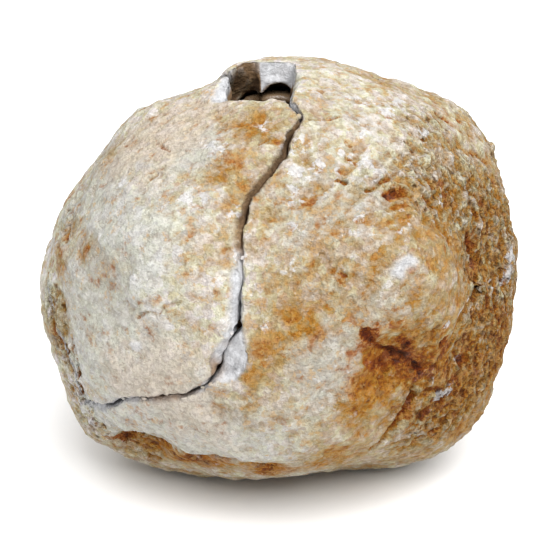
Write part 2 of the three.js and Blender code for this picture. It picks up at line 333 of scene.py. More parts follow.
def carveStreaks(piece):
    # ridges and grooves that run one way
    points, normals = pointsOf(piece), normalsOf(piece)
    weight = groupWeights(piece, "skin")
    move = np.zeros(len(points))
    for streak in streaks:
        long = stretchAlong(wander(points, 5, 0.8, 30), streak["along"], streak["stretch"])
        wave = 1 - abs(2 * layers(long, streak["size"], 40, 3) - 1) * 2
        move += (wave - 0.6) * streak["height"] * nearPlaces(points, streak["places"]) * 0.5
    setPoints(piece, points + normals * (move * weight)[:, None])


# Pits, creases and fine cracks: the places each runs through, its width and depth in mm, and its rust

marks = [
    # the fold under the nose and its branches
    ([(19, 5), (19.7, 4.1), (21.5, 1.9)], 1.3, 0.45, 0.9),
    ([(22.9, 0.7), (24.8, -0.9)], 0.8, 0.2, 0.6),
    ([(26, -1.2), (28.3, -2.4), (30.4, -3.3)], 1.0, 0.35, 0.8),
    ([(31.8, -4.9), (33.4, -6.4), (34.9, -8.1)], 0.8, 0.25, 0.7),
    ([(29.6, -0.2)], 1.3, 0.35, 0.8),
    ([(25.2, -4.6), (26.4, -7)], 1.0, 0.3, 0.5),
    ([(32.8, 1.4), (36, 2.5)], 0.8, 0.3, 0.5),
    ([(40.6, -2)], 1.9, 0.8, 0.8),
    ([(33.5, -6.6), (37, -8), (41, -9)], 1.0, 0.4, 0.4),
    ([(34.8, -13.4), (35.3, -16)], 0.8, 0.8, 0.9),
    ([(35.3, -16), (33.6, -20.3), (31.6, -24.3), (29.7, -28.5), (27.5, -32.4)], 1.2, 0.7, 0.6),
    ([(38, -15), (42, -16), (45, -19)], 0.9, 0.4, 0.5),
    ([(47.4, -21.4)], 1.7, 0.6, 0.7),
    ([(41.1, -23.3)], 1.9, 0.6, 0.6),
    ([(46.2, -26.6)], 1.2, 0.5, 0.6),
    ([(47.9, -30.8), (44, -33)], 1.2, 0.5, 0.6),
    ([(52.8, -10.9)], 1.6, 0.7, 0.8),
    ([(48, -8), (51, -12), (50, -16)], 1.0, 0.5, 0.4),
    # pits down the right side
    ([(61.9, 0.6)], 1.9, 0.5, 0.7),
    ([(57.9, 6.4), (58.2, 4.2)], 0.9, 0.6, 0.9),
    ([(62.5, 11.4)], 3.0, 0.5, 0.55),
    ([(58.8, 18), (60, 15.5)], 1.3, 0.7, 0.9),
    ([(63.7, 23.3)], 1.7, 0.8, 0.85),
    ([(70, 6), (71, -2)], 1.2, 0.6, 0.6),
    # pits and lines on the brow
    ([(29.8, 33.6), (33.5, 33.9)], 2.2, 0.5, 0.6),
    ([(27.5, 30.3), (33, 30.3)], 0.9, 0.3, 0.5),
    ([(24.8, 35.8), (28.7, 37), (31.8, 37.5)], 0.9, 0.45, 0.45),
    ([(45.8, 35.2), (46.5, 33)], 1.1, 0.6, 0.7),
    ([(53.3, 31)], 1.4, 0.8, 1),
    ([(54.1, 33.6)], 0.9, 0.5, 0.8),
    ([(41.2, 31.2), (43, 29)], 1.2, 0.5, 0.7),
    ([(17.5, 40), (19.8, 38.8)], 0.8, 0.5, 0.8),
    ([(24.1, 45.2)], 0.8, 0.4, 0.7),
    ([(31.1, 41.5)], 1.2, 0.4, 0.35),
    ([(56.1, 44.5), (58.5, 43.6)], 0.9, 0.5, 0.7),
    ([(81.1, 46.9), (84, 44)], 1.1, 0.5, 0.6),
    ([(88.2, 41)], 1.6, 0.5, 0.4),
    ([(81.3, 33.7), (85.3, 29.6)], 1.2, 0.4, 0.4),
    ([(10.6, 22.4), (11.8, 20.7)], 0.5, 0.35, 0.6),
    ([(12.7, 18.7)], 1.1, 0.35, 0.5),
    ([(14.2, 17.6), (15.1, 16.9)], 0.6, 0.35, 0.5),
    # fine cracks
    ([(14.8, 58.1), (21.6, 57.6), (29.3, 57.6)], 0.5, 0.45, 0.7),
    ([(-7.4, 50.5), (-3.9, 52.5)], 0.45, 0.4, 0.8),
    ([(-32.7, 5.9), (-28.9, 7.8), (-27, 7), (-25.3, 9.8), (-22.3, 11.3)], 0.5, 0.3, 0.5),
    # the crease across the scar
    ([(-13.3, -4.8), (-10.3, -4.5), (-7.8, -4.1)], 0.45, 0.3, 0),
    # the left side
    ([(-55.1, -5), (-55.4, -10.9), (-54.2, -13.4), (-59.8, -18.2), (-58.8, -21.5),
      (-61.4, -24.8)], 0.8, 0.7, 0.5),
    ([(-61.4, -8.6), (-60.8, -11.7)], 1.6, 1.0, 0.7),
    ([(-54.2, -6.4), (-53.1, -8.7), (-55, -13.7)], 0.9, 0.5, 0.4),
    ([(-66.5, -2), (-65.5, -8)], 1.7, 0.8, 0.65),
    ([(-60.1, -13.2)], 1.3, 0.5, 0.5),
    ([(-59.7, 0.8)], 1.6, 0.5, 0.8),
    ([(-64.9, 18), (-63, 15.5)], 1.1, 0.5, 0.6),
    ([(-38.9, 35.7), (-37.2, 37.6)], 0.8, 0.3, 0.3),
    ([(-38.5, 44.7), (-44.4, 45.9)], 0.7, 0.3, 0.4),
    # the nook low on the left
    ([(-56, -37), (-50, -34.5), (-45.4, -33), (-43.8, -34.7), (-35.4, -34.5)], 2.2, 0.7, 0.35),
    ([(-51.3, -44.6), (-46, -44.6)], 1.0, 0.6, 0.7),
    # the back, as guessed
    ([(120, 20), (126, 16)], 2.2, 0.8, 0.7),
    ([(160, 30)], 2.4, 0.9, 0.5),
    ([(-165, 12), (-160, 8), (-158, 2)], 1.6, 0.7, 0.5),
    ([(135, -25), (142, -22)], 2.0, 0.8, 0.6),
    ([(175, -8), (168, -14), (160, -16)], 1.4, 0.6, 0.5),
    ([(100, 5), (104, -6), (103, -14)], 1.5, 0.8, 0.7),
    ([(-130, 30), (-136, 24)], 1.5, 0.5, 0.4),
]

# steps in the rind: along each path, the side to its right lies this much lower
ledges = [
    {"path": [(59.3, 16), (59.7, 8), (59, 5), (55.7, 3.4), (50.4, 1.4), (47.5, -1)],
     "drop": 0.7, "reach": 2.2},
    {"path": [(30, 46), (25, 42), (19, 39.5), (14, 37)], "drop": 0.45, "reach": 1.8},
    {"path": [(58, 41), (46, 41.5), (38, 39)], "drop": 0.4, "reach": 1.6},
    {"path": [(-56, -37), (-54.4, -34.7), (-46, -31), (-37.6, -29.5), (-30.8, -30), (-29.6, -33.2),
              (-26.4, -34.9), (-18.1, -33), (-11.6, -32), (-6.4, -33.2), (-2.1, -36.5)],
     "drop": 0.6, "reach": 1.7},
]

# bevels along broken edges: the loose piece beside the lower crack, and the left rim of the hole
bevels = [
    {"on": "loose_rind", "path": [(-9.2, 18), (-9.4, 12.5), (-9, 6), (-10.5, 4)],
     "width": 1.0, "depth": 1.0},
    {"on": "loose_rind",
     "path": [(8.5, 56.2), (5.5, 54), (2, 47.5), (-3, 42), (-8, 36), (-9.5, 28.5), (-9, 22)],
     "width": 0.62, "depth": 0.9},
    {"on": "loose_rind", "path": [(-38, 66), (-46, 71), (-62, 76), (-90, 80.3), (-118, 82.5)],
     "width": 1.5, "depth": 0.85},
    {"on": "rind", "path": [(-24, -12.8), (-31.5, -14.8), (-39, -16.8)], "width": 0.5, "depth": 0.6},
    {"on": "rind", "path": [(-50, -22.8), (-55.5, -23.5), (-60, -24)], "width": 0.8, "depth": 0.8},
]

# where the loose piece's broken wall leans out below its edge, in mm, so that the crack closes below
leans = [
    {"path": [(9, 57), (5.5, 54), (2, 47.5), (-3, 42), (-8, 36), (-9.5, 28.5), (-9.2, 24)],
     "lean": 0.36},
    {"path": [(-9, 22), (-8.5, 17), (-9.3, 12.5), (-9.2, 8)], "lean": 0.42},
    {"path": [(-10.6, 3.5), (-11.5, 1), (-13, -0.5), (-13.6, -2.5)], "lean": 0.42},
    {"path": [(-17, -9), (-22, -12), (-31.5, -14.5), (-39, -16.5)], "lean": 0.2},
    {"path": [(-50, -22.5), (-55.5, -23.5), (-61, -24)], "lean": 0.3},
]

# the crack: its part that shows in front, and once round the loose piece
crackInFront = [
    (8, 63), (12, 58.5), (5.5, 54), (2, 47.5), (-3, 42), (-8, 36), (-9.5, 28.5), (-9, 22), (-8.5, 17),
    (-9.3, 12.5), (-9, 6), (-11, 3.4), (-13, -0.5), (-14, -5), (-17, -9), (-22, -12), (-31.5, -14.5),
    (-39, -16.5), (-46, -21), (-55.5, -23.5), (-61, -24),
]
crackLoop = [(6, 70)] + crackInFront + [
    (-58.5, -15), (-63, -6), (-69, 3), (-84, 9), (-101, 13), (-113, 26), (-121, 40), (-116, 54),
    (-104, 66), (-76, 76),
]
holeMiddle = (-75, 80.5)
holeReach = 8.5  # mm


def awayFrom(points, path):
    # distance in mm from each point's direction to a path, and which side of it the point is on
    around = unit(points) * stoneRadius
    ends = [towards(*place) * stoneRadius for place in path]
    if len(ends) == 1:
        return np.linalg.norm(around - ends[0], axis=1), np.ones(len(points))
    away = np.full(len(points), 99.0)
    side = np.ones(len(points))
    for a, b in zip(ends, ends[1:]):
        t = np.clip(((around - a) @ (b - a)) / ((b - a) @ (b - a)), 0, 1)
        offset = around - a - t[:, None] * (b - a)
        length = np.linalg.norm(offset, axis=1)
        nearer = length < away
        away[nearer] = length[nearer]
        side[nearer] = np.sign(offset[nearer] @ np.cross(b - a, a))
    return away, side


def frayedForMarks(points):
    # a mark's shape and its rust fray in the same way
    return wander(wander(points, 2.2, 0.5, 50), 0.8, 0.2, 60)


def carveMarks(piece):
    points, normals = pointsOf(piece), normalsOf(piece)
    weight = np.maximum(groupWeights(piece, "skin"), insideOutline(points, scarOutline))
    frayed = frayedForMarks(points)
    uneven = 0.55 + 0.9 * layers(points, 1.0, 70)
    move = np.zeros(len(points))
    for path, width, depth, rust in marks:
        away = awayFrom(frayed, path)[0]
        move -= depth * uneven * smoothStep(width * 0.6, width / 8, away)
    for ledge in ledges:
        away, side = awayFrom(frayed, ledge["path"])
        below = smoothStep(-0.25, 0.25, away * side)
        move -= ledge["drop"] * uneven * np.exp(-(away / ledge["reach"]) ** 2) * below
    move = np.maximum(move, -shell["deepestMark"]) * weight
    setPoints(piece, points + normals * move[:, None])


def surfaceTree(piece):
    # to look up the rind's surface by direction
    directions = unit(pointsOf(piece))
    surface = np.nonzero(groupWeights(piece, "skin") > 0.9)[0]
    tree = KDTree(len(surface))
    for i in surface:
        tree.insert(directions[i], i)
    tree.balance()
    return tree


def leanWalls(piece):
    # push the loose piece's broken wall out towards the shell, more the deeper it lies
    points, normals, edges = pointsOf(piece), normalsOf(piece), edgesOf(piece)
    directions, radius = unit(points), np.linalg.norm(points, axis=1)
    tree = surfaceTree(piece)
    smooth = np.stack([spreadOut(normals[:, axis], edges, 4) for axis in range(3)], -1)
    outward = unit(smooth - directions * (smooth * directions).sum(1)[:, None])
    upright = smoothStep(0.75, 0.5, abs((unit(smooth) * directions).sum(1)))
    for lean in leans:
        away = awayFrom(points, lean["path"])[0]
        leaning = (away < shell["leanReach"]) & (radius > shell["leanFrom"]) & (upright > 0)
        for i in np.nonzero(leaning)[0]:
            below = radius[tree.find(directions[i])[1]] - radius[i]
            share = upright[i] * smoothStep(0.1, 1.2, below)
            share = share * smoothStep(shell["leanReach"], 0.7, away[i])
            points[i] += outward[i] * lean["lean"] * share
    setPoints(piece, points)


def carveBevels(piece):
    # take the broken edges down in a slope; the points above the slope come down to it
    points = pointsOf(piece)
    directions, radius = unit(points), np.linalg.norm(points, axis=1)
    tree = surfaceTree(piece)
    frayed = wander(points, 1.5, 0.25, 80)
    bevelled = np.zeros(len(points))
    for bevel in bevels:
        if bevel["on"] != piece.name:
            continue
        away = awayFrom(frayed, bevel["path"])[0]
        for i in np.nonzero((away < bevel["width"]) & (radius > shell["bevelFrom"]))[0]:
            outer = radius[tree.find(directions[i])[1]]
            slope = outer - bevel["depth"] * (1 - away[i] / bevel["width"])
            if radius[i] > slope:
                radius[i] = slope
                bevelled[i] = 1
    setAttribute(piece, "bevel", spreadOut(bevelled, edgesOf(piece), 1))
    setPoints(piece, directions * radius[:, None])


def refineNear(piece, paths, reach):
    # split the faces beside these paths, so that fine edges show there
    points = pointsOf(piece)
    near = np.zeros(len(points), bool)
    for path in paths:
        near |= awayFrom(points, path)[0] < reach
    near |= awayFrom(points, [holeMiddle])[0] < shell["holeBand"]
    near &= np.linalg.norm(points, axis=1) > shell["fineFrom"]
    pick(piece)
    bpy.ops.object.mode_set(mode="EDIT")
    bpy.ops.mesh.select_all(action="DESELECT")
    bpy.ops.mesh.select_mode(type="FACE")
    bpy.ops.object.mode_set(mode="OBJECT")
    chosen = [bool(near[list(face.vertices)].all()) for face in piece.data.polygons]
    piece.data.polygons.foreach_set("select", chosen)
    bpy.ops.object.mode_set(mode="EDIT")
    bpy.ops.mesh.subdivide(number_cuts=1, ngon=False)
    bpy.ops.object.mode_set(mode="OBJECT")


# the arch in which the broken wall behind the hole ends below, in mm about the stone's middle
arch = {
    "x": -0.1,
    "y": 0.8,
    "bottom": 20,
    "top": 29,
    "halfWidth": 2.1,
    "depth": 2.6,       # towards the front and towards the back
    "lift": 1.25,
}


def liftArch(piece):
    points = pointsOf(piece)
    x, y, z = points.T
    behind = abs(y - arch["y"])
    inside = (behind < arch["depth"]) & (z < arch["top"]) & (z > arch["bottom"])
    lift = np.clip(1 - ((x - arch["x"]) / arch["halfWidth"]) ** 2, 0, 1) ** 0.6
    lift = lift * smoothStep(arch["top"], arch["top"] - 3, z) * inside
    points[:, 2] += arch["lift"] * lift * smoothStep(3.4, 1.6, behind)
    setPoints(piece, points)


def keepInside(piece):
    # press the outermost lumps back into the frame's box, and the lowest ones flat on the floor
    points = pointsOf(piece)
    middle = np.array(stoneMiddle) / mm
    low, high = (np.array(corner) / mm - middle for corner in cadBox)
    ease = shell["boxEase"]
    for axis in range(3):
        over = np.maximum(points[:, axis] - (high[axis] - ease), 0)
        points[:, axis] -= over - ease * (1 - np.exp(-over / ease))
        if axis < 2:
            under = np.maximum(low[axis] + ease - points[:, axis], 0)
            points[:, axis] += under - ease * (1 - np.exp(-under / ease))
    points[:, 2] = np.maximum(points[:, 2], low[2])
    setPoints(piece, points)


def report(piece):
    print(piece.name, "triangles:", sum(len(face.vertices) - 2 for face in piece.data.polygons))


def sortSurface(piece):
    # tell the rind, the broken faces and the hidden inner wall apart
    points, normals, edges = pointsOf(piece), normalsOf(piece), edgesOf(piece)
    facing = (unit(points) * normals).sum(1)
    scar = insideOutline(points, scarOutline) & (facing > 0)
    outside = (facing > 0) & (np.linalg.norm(points, axis=1) > shell["rindRadius"])
    mayBreak = awayFrom(points, crackLoop)[0] < shell["nearCrack"]
    mayBreak |= awayFrom(points, [holeMiddle])[0] < holeReach
    rindSide = (facing > shell["rindFacing"]) | (outside & ~mayBreak)
    outer = spreadOut((rindSide & ~scar).astype(float), edges, 2) > 0.6
    inner = facing < shell["liningFacing"]
    skin = smoothStep(0.5, 0.95, spreadOut(outer.astype(float), edges, 5))
    broken = spreadOut((~outer & ~inner).astype(float), edges, 1)
    paintGroup(piece, "skin", skin)
    paintGroup(piece, "broken", broken)
    paintGroup(piece, "lining", inner.astype(float))
    paintGroup(piece, "behind", ((points[:, 1] > shell["behindFrom"]) & ~inner).astype(float))
    setAttribute(piece, "brokenFace", smoothStep(0.35, 0.75, broken))
    setAttribute(piece, "liningFace", spreadOut(inner.astype(float), edges, 2))


def smoothStone(piece):
    # take the facets away, then make the mesh coarser where it is hidden and finer beside the cracks
    addModifier(piece, "SMOOTH", factor=0.5, iterations=shell["facetSmoothing"], vertex_group="skin")
    addModifier(piece, "SMOOTH", factor=0.5, iterations=shell["edgeSmoothing"])
    for group, share in (("lining", shell["liningShare"]), ("behind", shell["backShare"])):
        ratio = 1 - groupWeights(piece, group).mean() * (1 - share)
        addModifier(piece, "DECIMATE", ratio=ratio, vertex_group=group, vertex_group_factor=1000)
    finePaths = [path for path, width, depth, rust in marks if width < shell["fineWidth"]]
    refineNear(piece, [crackInFront, scarOutline] + finePaths, shell["fineBand"])


def roughen(piece):
    # the crack wanders, and lumps and grains stand on the rind
    warp = reliefTexture("warp", "CLOUDS", shell["wanderSize"], cloud_type="COLOR", noise_depth=2)
    addModifier(piece, "DISPLACE", texture=warp, strength=shell["wanderReach"] * mm, mid_level=0.5,
                direction="RGB_TO_XYZ", texture_coords="LOCAL")
    paintGroup(piece, "rough", groupWeights(piece, "skin") * nearPlaces(pointsOf(piece), roughPlaces))
    for relief in rindRelief:
        texture = reliefTexture(relief["name"], "CLOUDS", relief["size"], noise_depth=relief["depth"],
                                noise_type=relief["noise"])
        addModifier(piece, "DISPLACE", texture=texture, strength=relief["height"] * mm, mid_level=0.5,
                    vertex_group=relief["group"], texture_coords="LOCAL")


def weatheredShell(nodeName, pieceName):
    piece = copyOfNode(nodeName, pieceName)
    addModifier(piece, "REMESH", mode="VOXEL", voxel_size=shell["voxel"] * mm, use_smooth_shade=True)
    sortSurface(piece)
    smoothStone(piece)
    roughen(piece)
    carveStreaks(piece)
    carveMarks(piece)
    if nodeName == "main_shell":
        liftArch(piece)
    else:
        leanWalls(piece)
    carveBevels(piece)
    keepInside(piece)
    report(piece)
    return piece


# What is painted on the rind: direction, reach in mm and strength

stainPlaces = [
    (66, -2, 21, 0.24), (68, 22, 11, 0.09), (-50, 50, 12, 0.06), (-30, 56, 8, 0.05),
    (51, -23, 12, 0.28), (30, 4, 12, 0.09), (30, -4, 7, 0.12), (6, 38, 8, 0.13), (26, 22, 9, 0.04),
    (10, 28, 10, 0.12), (30, 12, 8, 0.05), (36, 30, 12, 0.03), (1, 3, 5.5, 0.22), (18, 16, 10, 0.05),
    (44, 30, 9, 0.1), (16, 8, 6, 0.03), (20, -12, 6, 0.12), (14, -7, 9, 0.16), (-22.9, 61, 4, 0.18),
    (-5, 59, 4.5, 0.14), (-13, 53, 3.4, 0.2), (-14.5, 44, 3.4, 0.14), (-11.8, 37, 2.5, 0.1),
    (-12, 29, 3, 0.12), (-51.4, 17, 2.6, 0.26), (-62, 20, 3, 0.24), (-37.4, 17.2, 2, 0.14),
    (-67, 37, 4, 0.18), (-50.7, 17.6, 2.2, 0.3), (-42, 14.5, 2.8, 0.36), (-19.7, 22.4, 2, 0.14),
    (-16, 18.6, 2, 0.06), (-18, 39, 2, 0.22), (-65, 36.5, 3, 0.18), (-2, 4, 5, 0.14),
    (6.6, 7.7, 2, 0.2), (44, 8, 14, 0.04), (38, -20, 12, 0.05), (-6.6, -17.7, 3, 0.26),
    (-13.4, -14.3, 2.2, 0.28), (-6, -3.8, 1.8, 0.25), (20, -11.5, 3.6, 0.2), (27, -15, 4, 0.05),
    (-63, 12, 3, 0.32), (-60, -5, 4, 0.24), (-66, -4, 4, 0.28), (-50, -39, 4, 0.42),
    (-40, -36, 4, 0.42), (-33.6, -38.5, 3, 0.4), (-26, -38, 3, 0.36), (-20, -37.5, 3, 0.34),
    (-13, -36.5, 3, 0.36), (-6, -38, 3, 0.32), (0, -40.5, 3, 0.26), (8, -36, 7, 0.16),
    (16, -33, 6, 0.2), (36, -8, 5, 0.1), (62, 46, 4, 0.1), (84, 62, 4, 0.16), (22, 21, 3, 0.05),
    (32, 33, 3.4, 0.14), (50, 32, 5, 0.12), (4, -12, 6, 0.1), (-4, 56, 5, 0.16), (20, 60, 7, 0.08),
    (-8, 42, 3, 0.08), (-16, -2, 4, 0.1), (-22, 8, 4, 0.14), (-28, 26, 3, 0.1), (66, 36, 6, 0.08),
    # on the next row, (0, -80, 20, 0.35) paints the underside darker brown so that the shadow under the
    # stone comes out darker: painted shade
    (0, 16, 5, 0.06), (70, -20, 10, 0.1), (0, -80, 20, 0.35), (105, 10, 28, 0.26),
    (150, -30, 26, 0.26), (-150, 20, 22, 0.16), (180, 60, 20, 0.12), (-110, -20, 18, 0.2),
]
rustPlaces = [
    (21, 2, 2, 0.4), (25, -1.5, 2, 0.5), (29.5, -3, 2, 0.55), (19.5, 4.5, 1.6, 0.7), (25, -6, 2, 0.35),
    (33.4, -7, 2, 0.55), (29.6, -0.2, 1.4, 0.5), (36, -3.4, 1.6, 0.35), (41, -2.5, 1.8, 0.55),
    (23, -4.5, 1.4, 0.35), (36.5, -9.5, 1.8, 0.35), (30, -9, 1.6, 0.25), (28, 3.5, 1.2, 0.25),
    (45, -5, 1.6, 0.35), (39, 1.5, 1.2, 0.3), (17.4, 0.6, 1.4, 0.25), (19.6, -10.5, 2.6, 0.35),
    (58, 10, 2.6, 0.3), (60, 19, 2.2, 0.3), (31.8, 33.8, 1.8, 0.4), (53, 32, 2.2, 0.35),
    (46, -24, 7, 0.3), (52, -12, 4, 0.3), (66, -2, 4, 0.25), (34, -22, 2.4, 0.4), (43, -8, 3, 0.25),
    (64, 14, 3, 0.25), (70, 24, 3, 0.25), (72, -8, 4, 0.3), (-56, -37, 2, 0.5), (-47, -35, 2.4, 0.35),
    (-33, -38, 2, 0.3), (-62, -6, 2.4, 0.4), (-63, 12, 1.6, 0.35), (-14, 46.5, 1.6, 0.3),
    (-21.7, 56, 0.8, 0.6), (102, 0, 5, 0.4), (140, 10, 4, 0.3), (170, -15, 5, 0.3),
    (-160, -30, 4, 0.3), (110, -30, 6, 0.35), (6.6, 7.7, 1.2, 0.3), (22.4, 20.8, 1.0, 0.35),
    (-5, 2, 1.2, 0.25), (-3, -2, 1.2, 0.25), (84, 45, 2, 0.3), (47, 12, 2.5, 0.2), (24, 8, 2.4, 0.25),
    (15, 14, 2, 0.2),
]
chalkPlaces = [
    (-48.3, 34.5, 1.2, 0.9), (-20.7, 34.5, 1.8, 0.9), (-25, 32.5, 1.2, 0.7), (-24, 48.8, 2.6, 0.6),
    (-46.3, 21.1, 1.3, 0.8), (-11.9, 31.8, 1.2, 0.8), (-32.9, 14.6, 1.6, 0.8), (-30.8, 30.5, 1.5, 0.6),
    (-34.5, -1.7, 1.5, 0.9), (-53, -2, 1, 0.6), (22.6, 47.2, 1.2, 1.0), (6.5, 43, 1.6, 0.8),
    (4.1, 37, 1.8, 0.8), (-6, 57, 1.2, 0.8), (61.1, 46.6, 1.3, 0.9), (48, 30, 0.9, 0.9),
    (64, 5, 0.8, 1.0), (73.8, 4.3, 1.8, 0.9), (75, 8, 1.4, 0.8), (41.2, -13.5, 0.8, 1.0),
    (43.5, -18.5, 0.9, 1.0), (47.5, -18.3, 1.3, 1.1), (45, -17.5, 1.1, 0.9), (48.9, -10.8, 0.8, 1.0),
    (40.4, 2.8, 0.9, 0.9), (46.2, 3.7, 1.0, 0.9), (51, 6, 0.9, 0.7), (2, 21, 1.5, 0.5),
    (4, 28, 1.5, 0.6), (-3, 9, 1.6, 0.6), (27.7, 40.9, 3.2, 0.5), (14, 42, 2.4, 0.5),
    (51.6, 62.8, 2.2, 0.6), (70.3, 55.4, 2.2, 0.7), (53.6, 55.7, 2.4, 0.6), (34, 52, 3.4, 0.45),
    (20, 27.7, 2.2, 0.5), (8, 49, 3, 0.5), (-10, 22, 2, 0.4), (12, -4, 3, 0.3), (-44, -31, 2, 0.5),
    (-62, -28, 2, 0.5), (30, 25, 2, 0.4),
]
# a painted highlight on the top of the nose: smooth and whitish, with soft edges
noseHighlightPlaces = [
    (28.9, 19.6, 0.9, 0.7), (27.3, 18.6, 1.0, 1.0), (25.4, 17.4, 1.1, 0.7), (24.3, 16.2, 1.4, 0.35),
]
coolPlaces = [
    (-36, 20, 11, 0.7), (-50, 0, 8, 0.7), (-32, -6, 8, 0.6), (-60, 30, 9, 0.5), (-20, -24, 12, 0.7),
    (12, 4, 7, 0.5), (10, -8, 8, 0.6), (-45, -26, 8, 0.7), (30, 56, 8, 0.4), (8, 36, 8, 0.4),
    (30, 14, 6, 0.35), (-30, 50, 6, 0.5), (-110, 40, 18, 0.5), (-140, 0, 16, 0.4), (10, -50, 14, 0.5),
    (26, 12, 7, 0.2), (-24, 46, 5, 0.4), (0, 30, 6, 0.3), (22, 30, 7, 0.3),
]
pinkPlaces = [
    (-50, 46, 9, 0.8), (-40, 58, 8, 0.6), (-24, -4, 9, 0.5), (-18, -20, 8, 0.5), (-35, -10, 7, 0.5),
    (10, 25, 7, 0.3), (-52, 42, 5, 0.4), (35, 50, 8, 0.3), (-170, 20, 16, 0.5), (-100, 10, 12, 0.4),
]
# brown on the broken faces, partly real stain and partly painted shade in the crack and the hole;
# elsewhere they are clean
dullPlaces = [
    (6, 54, 5, 0.9), (0, 45, 5, 0.9), (-8, 35, 5, 0.9), (-9, 27, 4, 0.7), (-12, 2.5, 1.5, 0.3),
    (-15, -4, 1.8, 0.5), (-27, -13, 8, 0.6), (-95, 81, 3, 1.0),
]


def paintPlaces(points, places, fray, seed, steepness=2.0):
    # soft spots that add up, on points pushed about so that their outlines fray
    frayed = wander(points, 3.5, fray, seed)
    frayed = unit(wander(frayed, 1.2, fray * 0.3, seed + 5))
    total = np.zeros(len(points))
    for azimuth, elevation, reach, strength in places:
        away = np.linalg.norm(frayed - towards(azimuth, elevation), axis=1) * stoneRadius / reach
        total += strength * np.exp(-(away ** steepness) * 1.2)
    return total


def hollowness(points, normals, edges, passes, depth):
    # from -1 on a ridge to 1 in a hollow this deep in mm, against the smoothed surface
    smooth = np.stack([spreadOut(points[:, axis], edges, passes) for axis in range(3)], -1)
    return np.clip(((smooth - points) * normals).sum(1) / depth, -1, 1)


# how the paint is laid on
paint = {
    "stainAllOver": 0.18,
    "stainBlotch": 0.22,        # more or less in blotches of this size in mm
    "blotchSize": 8,
    "tintBlotch": 0.5,          # the same for the cool and the pink tints
    "tintSize": 6,
    "hollowDepth": 0.06,        # mm, a small hollow, and how much more stain it holds
    "hollowStain": 0.04,
    "coarseHollowStain": 0.08,
    "foldDepth": 0.35,          # mm, a wide fold, and how much more stain it holds
    "foldStain": 0.1,
    "markRust": 0.6,            # how much of its rust a mark shows
    # below these radii the broken faces turn brown and darker: painted shade deeper in, over the stain
    "stainAndShadeBelow": (29.5, 26.5),  # mm from the middle, where the broken faces turn brown
    "chunkFrom": -2.5,          # mm, the x from which the broken wall behind the hole is clean quartz
    "chunkRadius": (23.5, 25),
}


def paintRind(piece):
    points, normals, edges = pointsOf(piece), normalsOf(piece), edgesOf(piece)
    hollow = hollowness(points, normals, edges, 4, paint["hollowDepth"])
    fold = hollowness(points, normals, edges, 40, paint["foldDepth"])
    coarse = nearPlaces(points, roughPlaces)
    stain = paint["stainAllOver"] + paintPlaces(points, stainPlaces, 2.4, 1)
    stain += paint["stainBlotch"] * (layers(points, paint["blotchSize"], 2) - 0.5)
    stain += paint["foldStain"] * fold
    stain += (paint["hollowStain"] + paint["coarseHollowStain"] * coarse) * hollow
    rust = paintPlaces(points, rustPlaces, 1.6, 2)
    frayed = frayedForMarks(points)
    for path, width, depth, markRust in marks:
        away = awayFrom(frayed, path)[0]
        rust += markRust * paint["markRust"] * smoothStep(width * 0.75, width * 0.1, away)
    radius = np.linalg.norm(points, axis=1)
    behindHole = (awayFrom(points, [holeMiddle])[0] < holeReach) & (points[:, 1] > -1)
    start = paint["chunkFrom"]
    chunk = smoothStep(start - 0.2, start + 0.2, points[:, 0]) * behindHole
    chunk *= smoothStep(*paint["chunkRadius"], radius)
    # dull: the stain places on the broken faces, plus painted shade that grows with depth
    dull = paintPlaces(points, dullPlaces, 0.5, 8) + smoothStep(*paint["stainAndShadeBelow"], radius) * 1.5
    tints = [paint["tintBlotch"] * (layers(points, paint["tintSize"], seed) - 0.5) for seed in (9, 19)]
    painted = {
        "stain": stain,
        "rust": rust,
        "chalk": paintPlaces(points, chalkPlaces, 0.8, 4, 2.2),
        # pale holds the painted highlight on the nose
        "pale": paintPlaces(points, noseHighlightPlaces, 0.7, 5),
        "cool": paintPlaces(points, coolPlaces, 3, 6) + tints[0],
        "pink": paintPlaces(points, pinkPlaces, 3, 7) + tints[1],
        "dull": dull * (1 - chunk),
        "hollow": hollow,
        "upright": nearPlaces(points, streaks[1]["places"]),
        "coarse": coarse,
    }
    for name, values in painted.items():
        setAttribute(piece, name, np.clip(values, -1, 1.5))


# chips that bridge the crack: direction, size in mm, and how far the length leans up in degrees
chips = [
    {"at": (9.9, 59.6), "size": (0.95, 0.8, 0.6), "turn": 70},
    {"at": (-15.2, -8.2), "size": (1.1, 0.6, 0.5), "turn": 25},
    {"at": (-17.6, -9.6), "size": (0.7, 0.5, 0.4), "turn": -10},
    {"at": (-33.4, -15.2), "size": (0.9, 0.5, 0.4), "turn": 10},
    {"at": (-40.5, -17.2), "size": (0.7, 0.45, 0.4), "turn": -20},
    # the two white chips are small whitish crystals, painted chalk-white all over as glints: painted
    # highlights
    {"at": (-8.6, 21.8), "size": (0.65, 0.5, 0.5), "turn": 40, "white": True},
    {"at": (-10.4, 4.8), "size": (0.55, 0.45, 0.5), "turn": 80, "white": True},
]


